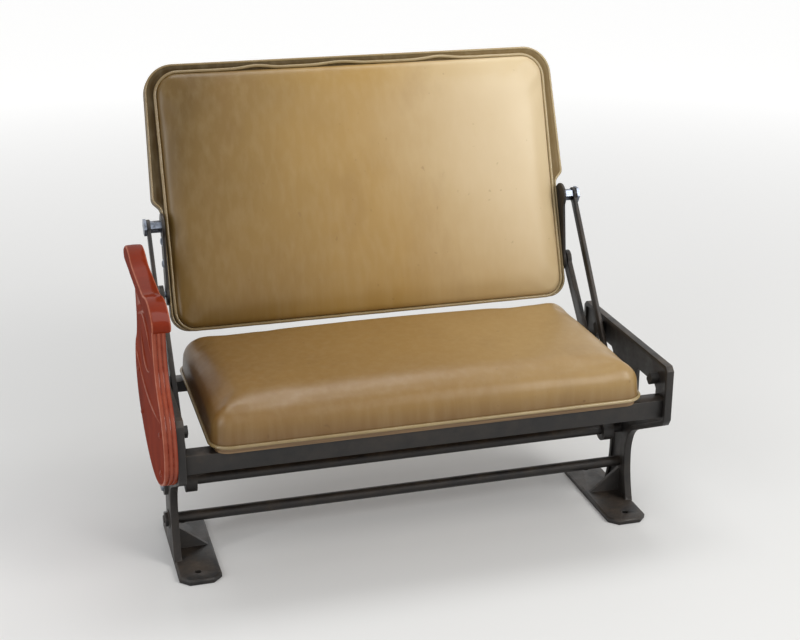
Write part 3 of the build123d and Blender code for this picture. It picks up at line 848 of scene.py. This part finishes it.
def shapePadding(f, local):
    # the crown, the hollows, and the sides that pull in between the corners
    middle = (f["low"] + f["high"]) / 2
    across = local[:, 0] / f["halfWidth"]
    along = (local[:, 1] - middle) / ((f["high"] - f["low"]) / 2)
    flatAcross, flatAlong = np.clip(1 - across ** 2, 0, 1), np.clip(1 - along ** 2, 0, 1)
    up = np.clip(local[:, 2] / f["edge"], 0, 1)
    local[:, 2] += f["dome"] * up * (flatAcross * flatAlong) ** paddingForm["domeBend"]
    for x, y, reach, depth in f["hollows"]:
        away = (local[:, 0] - x) ** 2 + (local[:, 1] - y) ** 2
        local[:, 2] -= depth * up * np.exp(-away / reach ** 2)
    local[:, 0] -= f["drawIn"] * up * flatAlong * across ** 3
    local[:, 1] -= f["drawIn"] * up * flatAcross * along ** 3


def inflate(pad):
    # the cloth swells under pressure and is applied as it stands after the last frame
    cloth = pad.modifiers.new("Cloth", "CLOTH")
    setAll(cloth.settings, paddingForm["cloth"])
    cloth.settings.effector_weights.gravity = 0
    cloth.point_cache.frame_end = paddingForm["frames"]
    for step in range(1, paddingForm["frames"] + 1):
        bpy.context.scene.frame_set(step)
    applyAll(pad)


def buildPadding(name, f, place):
    # local x and y in the plane of the pad, z out of its face
    outline, side, voxel = paddedOutline(f), f["edge"] - f["roll"], paddingForm["voxel"]
    share, bulge = paddingForm["sideBulge"]
    steps = [(0.0, 0.0), (side * share, -bulge)]
    steps += [(side + f["roll"] * math.sin(a), f["roll"] * (1 - math.cos(a))) for a in quarterTurn]
    ways = outlineNormals(outline)
    pad = wrapGrid(name, [[(*p, out) for p in drawnIn(outline, ways, inset)] for out, inset in steps])
    pick(pad)
    pad.data.remesh_voxel_size = voxel
    bpy.ops.object.voxel_remesh()
    local = meshVerts(pad)
    shapePadding(f, local)
    setVerts(pad, moved(local, place))
    group = pad.vertex_groups.new(name="held")
    low = np.where(local[:, 2] < voxel * paddingForm["heldBelow"])[0]
    group.add(low.tolist(), 1.0, "REPLACE")
    inflate(pad)
    shift = moved(meshVerts(pad), place.inverted()) - local
    shift[:, 2] = held(shift[:, 2], f["cap"])
    shift[:, :2] = held(shift[:, :2], f["sideCap"])
    setVerts(pad, moved(local + neighbourMean(pad, shift, paddingForm["evening"]), place))
    finer = pad.modifiers.new("Finer", "SUBSURF")
    finer.levels = finer.render_levels = 1
    applyAll(pad)
    pad.vertex_groups.clear()
    out = moved(meshVerts(pad), place.inverted())[:, 2]
    # painted shade with handling dirt: darker towards the base of the edge, where it meets the parts beside
    # and below
    paint(pad, "grime", 1 - out / (f["edge"] * paddingForm["grimeReach"]))
    return smooth(pad)


def padPlace(side):
    # side -1 faces the seat and 1 faces away
    rows = ((-side, 0, 0, 0), (0, 0, side, side * padForm["coreHalf"]), (0, 1, 0, 0), (0, 0, 0, 1))
    return backPlace @ Matrix(rows)


frontPad = buildPadding("frontPad", padForm, padPlace(-1))
rearPad = copyOf(frontPad, "rearPad", padPlace(1) @ padPlace(-1).inverted())
seatCushion = buildPadding("seatCushion", cushionForm, Matrix.Translation((0, 0, cushionForm["base"])))
finishPiece(frontPad, "back", padCover, "front_pad")
finishPiece(rearPad, "back", padCover, "rear_pad")
finishPiece(seatCushion, "base", seatCover, "seat_cushion")
print("padding ready")


# band round the back

bandForm = {
    "corners": [(0.468, 0, 0.042), (0.468, 0.274, 0.018), (0.486, 0.292, 0.018), (0.478, 0.594, 0.065)],
    "cornerSteps": 14, "step": 0.006,
    "section": [               # y to either side, and how far in
        (0.0140, 0.0120), (0.0140, 0.0040), (0.0131, 0.0015), (0.0118, 0.0004), (0.0100, 0.0),
        (0.0050, 0.0007), (0.0, 0.0010),
    ],
    "gather": 0.0008, "gatherLength": 0.013, "gatherHalf": 0.015,
    "gatherPlace": (0.459, 0.575), "gatherReach": 0.07,
    "wearAndHighlight": (0.9, 0.0128, 0.0014),       # painted highlight with wear along the rounded edges: how much, at which y, and how far to either side
    "smoothing": 50,
}


def bandOutline(step):
    right = bandForm["corners"]
    corners = right + [(-x, z, r) for x, z, r in reversed(right)]
    return densify(roundedOutline(corners, bandForm["cornerSteps"]), step)


def buildBand():
    f, outline = bandForm, bandOutline(bandForm["step"])
    # small gathers where the strip goes round the upper corners
    gathers, length, last = [], 0.0, outline[0]
    for p in outline:
        length += (p - last).length
        last = p
        away = math.hypot(abs(p.x) - f["gatherPlace"][0], p.y - f["gatherPlace"][1])
        near = max(0, 1 - away / f["gatherReach"])
        gathers.append(f["gather"] * near ** 0.7 * math.sin(2 * math.pi * length / f["gatherLength"]))
    half = [(-y, inset) for y, inset in f["section"]]
    section = half + [(-y, inset) for y, inset in reversed(half[:-1])]
    normals, rings = outlineNormals(outline), []
    for y, inset in section:
        ring = []
        for p, n, gather in zip(outline, normals, gathers):
            q = p - n * (inset - gather * (1 - (y / f["gatherHalf"]) ** 2))
            ring.append((q.x, y, q.y))
        rings.append(ring)
    amount, wornAt, reach = f["wearAndHighlight"]
    worn = [amount * max(0, 1 - abs(abs(y) - wornAt) / reach) for y, _ in section]
    worn[0] = worn[-1] = 0
    band = wrapGrid("backBand", rings, worn=worn)
    band.data.transform(backPlace)
    return smooth(band, f["smoothing"])


finishPiece(buildBand(), "back", bandCover, "back_core")


# piping along the seams

pipingForm = {
    "padRadius": 0.0038, "padOut": 0.0022, "wave": 0.0006, "waveScale": 26,
    "padSink": 0.7,            # how far out of the core it lies, in radii
    "looseBelow": 0.02,        # it comes loose no lower than this below the pad's top
    "frontLoose": [(-0.225, 0.034, 0.0052), (-0.030, 0.046, 0.0046), (0.205, 0.040, 0.0055)],
    "rearLoose": [(-0.270, 0.040, 0.0045), (-0.050, 0.050, 0.0040)],
    "rimRadius": 0.0027, "rimIn": 0.0016, "rimSink": 0.0006,
    "cushionRadius": 0.0036, "cushionOut": 0.0012, "cushionUp": 0.0042,
    "step": 0.010, "cushionStep": 0.012, "padCorner": 16, "cushionCorner": 14, "round": 4,
}


def buildPiping(name, path, radius, place):
    # a cord along a closed path of points
    curve = bpy.data.curves.new(name, "CURVE")
    curve.dimensions = "3D"
    spline = curve.splines.new("POLY")
    spline.points.add(len(path) - 1)
    for point, spot in zip(spline.points, path):
        point.co = (*spot, 1)
    spline.use_cyclic_u = True
    curve.bevel_depth = radius
    curve.bevel_resolution = pipingForm["round"]
    cord = bpy.data.objects.new(name, curve)
    link(cord)
    pick(cord)
    bpy.ops.object.convert(target="MESH")
    piping = smooth(faceOut(named(name)))
    piping.data.transform(place)
    return piping


def padPiping(name, side, loose):
    # lies against the pad's side and has come away from it here and there along the top
    f = pipingForm
    y = side * (padForm["coreHalf"] + f["padRadius"] * f["padSink"])
    outline = densify(paddedOutline(padForm, f["padOut"], f["padCorner"]), f["step"])
    path = []
    for p, n in zip(outline, outlineNormals(outline)):
        out = f["wave"] * noise.noise(Vector((p.x * f["waveScale"], p.y * f["waveScale"], side * 3.0)))
        if p.y > padForm["high"] - f["looseBelow"]:
            out += sum(height * math.exp(-((p.x - centre) / reach) ** 2) for centre, reach, height in loose)
        path.append((p.x + n.x * out, y, p.y + n.y * out))
    return buildPiping(name, path, f["padRadius"], backPlace)


def rimPiping(name, side):
    f, outline = pipingForm, bandOutline(pipingForm["step"])
    y = side * (padForm["coreHalf"] - f["rimSink"])
    path = [(p.x, y, p.y) for p in drawnIn(outline, outlineNormals(outline), f["rimIn"])]
    return buildPiping(name, path, f["rimRadius"], backPlace)


def cushionPiping(name):
    f = pipingForm
    outline = paddedOutline(cushionForm, f["cushionOut"], f["cushionCorner"])
    height = cushionForm["base"] + f["cushionUp"]
    path = [(p.x, p.y, height) for p in densify(outline, f["cushionStep"])]
    return buildPiping(name, path, f["cushionRadius"], Matrix.Identity(4))


for side, name in ((-1, "front"), (1, "rear")):
    finishPiece(padPiping(name + "Piping", side, pipingForm[name + "Loose"]), "back", pipingCover)
for side, name in ((-1, "front"), (1, "rear")):
    finishPiece(rimPiping(name + "RimPiping", side), "back", pipingCover)
finishPiece(cushionPiping("cushionPiping"), "base", pipingCover)
print("band and piping ready")


# castings and bars with softened arrises

castingForm = {
    "arrises": {               # width and segments
        "frame": (0.0022, 3), "lever": (0.0016, 3), "guide_link": (0.0014, 2), "bracket": (0.0016, 3),
        "rail": (0.0012, 2),
    },
    "flatAngle": 1.0,          # faces that turn less than this become one
    "arrisAngle": 32,
    "smoothing": 35,
}


def softened(node, name, width, segments):
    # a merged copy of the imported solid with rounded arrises
    f = castingForm
    copy = copyOf(cadNodes[node], name, Matrix.Identity(4))
    copy.parent = None
    for key in list(copy.keys()):
        del copy[key]
    copy.matrix_world = Matrix.Identity(4)
    faceOut(copy)
    editAll(copy)
    bpy.ops.mesh.dissolve_limited(angle_limit=math.radians(f["flatAngle"]))
    bpy.ops.object.mode_set(mode="OBJECT")
    bevelArris(copy, width, segments, f["arrisAngle"])
    return smooth(copy, f["smoothing"])


castings = []                  # side, kind and body
for end in ("aisle", "wall"):
    castings += [(end, "frame", "base"), (end, "lever", "levers"), (end, "guide_link", end + "_link")]
    castings.append((end, "bracket", "back"))
for side, kind, body in castings + [("front", "rail", "base"), ("rear", "rail", "base")]:
    node, name = f"{side}_{kind}", side + kind.title().replace("_", "")
    finishPiece(softened(node, name, *castingForm["arrises"][kind]), body, ironPaint, node)
print("iron pieces ready")


# bolts, nuts and shaft caps

boltForm = {
    "headRadius": 0.0085, "headHeight": 0.0034, "washer": 0.0009,
    "leverPin": (0.281414, 0.492814), "linkPin": (0.302647, 0.644712),
    "bracketAlong": [0.45, 0.78],        # shares of the way from one pin to the other
    "hexRadius": 0.0125, "hexHeight": 0.0075, "railBolts": [(0.194, 0.305), (-0.194, 0.305)],
    "nutRadius": 0.0175, "nutHeight": 0.0095, "nutStub": 0.003, "stretcher": (0.0, 0.084),
    "capRadius": 0.0170, "capHeight": 0.0055, "shaft": (0.0, 0.170),
    "bracketFace": 0.4741, "frameFace": 0.5271, "bossFace": 0.5351,
    "segments": 32, "smoothing": 35,
    "firstTurn": 17, "nextTurn": 40,
}


def lathe(name, section):
    # turned about x: the section is distance along x and radius, filled at both ends
    angles = np.linspace(0, 2 * math.pi, boltForm["segments"], endpoint=False)
    rings = [[(x, r * math.cos(a), r * math.sin(a)) for a in angles] for x, r in section]
    return smooth(wrapGrid(name, rings), boltForm["smoothing"])


def domeHead(name):
    # a low domed head on a thin washer, standing on x = 0 and facing +x
    r, h, w = boltForm["headRadius"], boltForm["headHeight"], boltForm["washer"]
    section = [(0, r * 1.35), (w * 0.6, r * 1.35), (w, r * 1.28), (w, r * 1.04), (w * 1.3, r)]
    section += [(w + h * math.sin(a), r * math.cos(a) ** 0.8) for a in np.radians((20, 40, 58, 74, 86))]
    return lathe(name, section)


def hexHead(name, radius, height, stub=0):
    # a hexagon with its outer corners turned off, on a washer, and a stub of thread
    bpy.ops.mesh.primitive_cylinder_add(vertices=6, radius=radius, depth=height, location=(height / 2, 0, 0),
                                        rotation=(0, math.pi / 2, 0))
    head = named(name)
    bpy.ops.object.transform_apply(location=True, rotation=True, scale=True)
    bevelArris(head, height * 0.11, 2)
    pieces = [smooth(head, boltForm["smoothing"])]
    rim = [(0, radius * 1.22), (0.0014, radius * 1.22), (0.0018, radius * 1.16), (0.0018, radius * 0.4)]
    pieces.append(lathe(name + "Washer", rim))
    if stub:
        end, r = height + stub, radius * 0.5
        pieces.append(lathe(name + "Stub", [(height - 0.001, r), (height + stub * 0.7, r), (end, r * 0.8)]))
    return joinInto(name, pieces)


def shaftCap(name):
    # a round cap with a turned centre
    r, h = boltForm["capRadius"], boltForm["capHeight"]
    section = [(0, r), (h * 0.6, r), (h * 0.85, r * 0.93), (h, r * 0.8), (h, r * 0.3)]
    return lathe(name, section + [(h * 0.8, r * 0.22), (h * 0.8, r * 0.05)])


def placeHeads(head, name, body, finish, face, spots, ends=(-1, 1)):
    # copies of one head on the aisle end (-1) and the wall end (1)
    heads = []
    for end in ends:
        way = Matrix.Rotation(math.pi, 4, "Z") if end < 0 else Matrix.Identity(4)
        heads += copiesAt(head, f"{name}{end}", boltForm, end * face, spots, way)
    bpy.data.objects.remove(head)
    finishPiece(joinInto(name, heads), body, finish)


f = boltForm
between = [Vector(f["leverPin"]).lerp(Vector(f["linkPin"]), share) for share in f["bracketAlong"]]
placeHeads(domeHead("bracketBolt"), "bracketBolts", "back", steel, f["bracketFace"], between)
head = hexHead("railBolt", f["hexRadius"], f["hexHeight"])
placeHeads(head, "railBolts", "base", ironPaint, f["frameFace"], f["railBolts"], (1,))
head = hexHead("rodNut", f["nutRadius"], f["nutHeight"], f["nutStub"])
placeHeads(head, "rodNuts", "base", ironPaint, f["frameFace"], [f["stretcher"]])
placeHeads(shaftCap("shaftCap"), "shaftCaps", "levers", steel, f["bossFace"], [f["shaft"]])
print("bolts ready")


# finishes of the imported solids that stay

finishes = {"pin": steel, "stud": steel, "stops": rubber, "seat_pan": plywood}
for node, obj in cadNodes.items():
    if not obj.hide_render:
        found = [finish for word, finish in finishes.items() if word in node]
        cover(obj, (found or [ironPaint])[0][0])


# floor, light and camera

studio = {
    "floorSize": 40.0, "floorDrop": 0.0005, "floorColour": (0.76, 0.76, 0.75, 1),
    "floorGlow": (0.07, 0.62), "glowReach": (0.9, 5.0),      # near the seat and far away
    "world": 0.40, "surround": 0.96,     # what lights the seat, and what is seen behind it
    "cameraPlace": (-0.822, -2.83, 1.568), "cameraAim": (0.005, 0.06, 0.462), "lens": 66.0,
}

lights = {                     # place, aim, width and height, power and colour
    "keyLight": ((2.2, -2.4, 2.6), (0, 0, 0.5), (1.4, 2.0), 66.0, (1.0, 0.985, 0.96)),
    "fillLight": ((-2.6, -1.6, 2.0), (0, 0, 0.5), (1.6, 1.6), 13.0, (0.96, 0.98, 1.0)),
    "topLight": ((0.1, 0.5, 3.4), (0, 0, 0.4), (2.2, 1.2), 34.0, (1.0, 1.0, 1.0)),
    # tall and narrow: it draws thin lines along the rounded edges
    "stripLight": ((-2.7, -1.0, 1.5), (0, 0.1, 0.6), (0.22, 2.2), 11.0, (0.97, 0.98, 1.0)),
}


def lookAt(obj, place, aim):
    obj.location = place
    obj.rotation_euler = (Vector(aim) - Vector(place)).to_track_quat("-Z", "Y").to_euler()


def seenDirectly(tree, x):
    # by the camera, through glass or in a reflection
    rays = addNode(tree, "LightPath", (x, 200)).outputs
    either = calculate(tree, (x + 200, 200), "MAXIMUM", rays["Is Camera Ray"], rays["Is Transmission Ray"])
    return calculate(tree, (x + 400, 200), "MAXIMUM", either, rays["Is Glossy Ray"])


def buildFloor():
    # the outer part is as pale as the surround, where it is seen directly
    bpy.ops.mesh.primitive_plane_add(size=studio["floorSize"])
    floor = named("studioFloor")
    floor.data.transform(Matrix.Translation((0, 0, -studio["floorDrop"])))
    material, tree, shader = newMaterial("studioFloor", 0.8)
    feed(shader, "Base Color", studio["floorColour"])
    spot = onObject(tree, (-1100, -200))
    away = addNode(tree, "VectorMath", (-900, -200), {0: spot}, operation="LENGTH").outputs["Value"]
    glow = spread(tree, (-700, -200), away, *studio["glowReach"], *studio["floorGlow"])
    feed(shader, "Emission Strength", calculate(tree, (-300, 0), "MULTIPLY", seenDirectly(tree, -900), glow))
    feed(shader, "Emission Color", (1, 1, 1, 1))
    cover(floor, material)


def buildLight(name, place, aim, size, power, colour):
    bpy.ops.object.light_add(type="AREA")
    light = bpy.context.object
    light.name = name
    light.data.shape = "RECTANGLE"
    light.data.size, light.data.size_y = size
    light.data.energy = power
    light.data.color = colour
    lookAt(light, place, aim)


def buildWorld():
    world = bpy.data.worlds.new("studioWorld")
    bpy.context.scene.world = world
    world.use_nodes = True
    tree = world.node_tree
    tree.nodes.clear()
    white = (1, 1, 1, 1)
    soft = addNode(tree, "Background", (0, 0), {"Color": white, "Strength": studio["world"]})
    plain = addNode(tree, "Background", (0, -150), {"Color": white, "Strength": studio["surround"]})
    inputs = {0: seenDirectly(tree, -600), 1: soft.outputs[0], 2: plain.outputs[0]}
    mixed = addNode(tree, "MixShader", (200, 0), inputs)
    addNode(tree, "OutputWorld", (400, 0), {"Surface": mixed.outputs[0]})


def buildCamera():
    camera = bpy.data.objects.new("camera", bpy.data.cameras.new("camera"))
    link(camera)
    lookAt(camera, studio["cameraPlace"], studio["cameraAim"])
    camera.data.lens = studio["lens"]
    bpy.context.scene.camera = camera


buildFloor()
clearSelection()
for name, values in lights.items():
    buildLight(name, *values)
buildWorld()
buildCamera()
bpy.context.scene.view_settings.view_transform = "Standard"
print("light and camera ready")
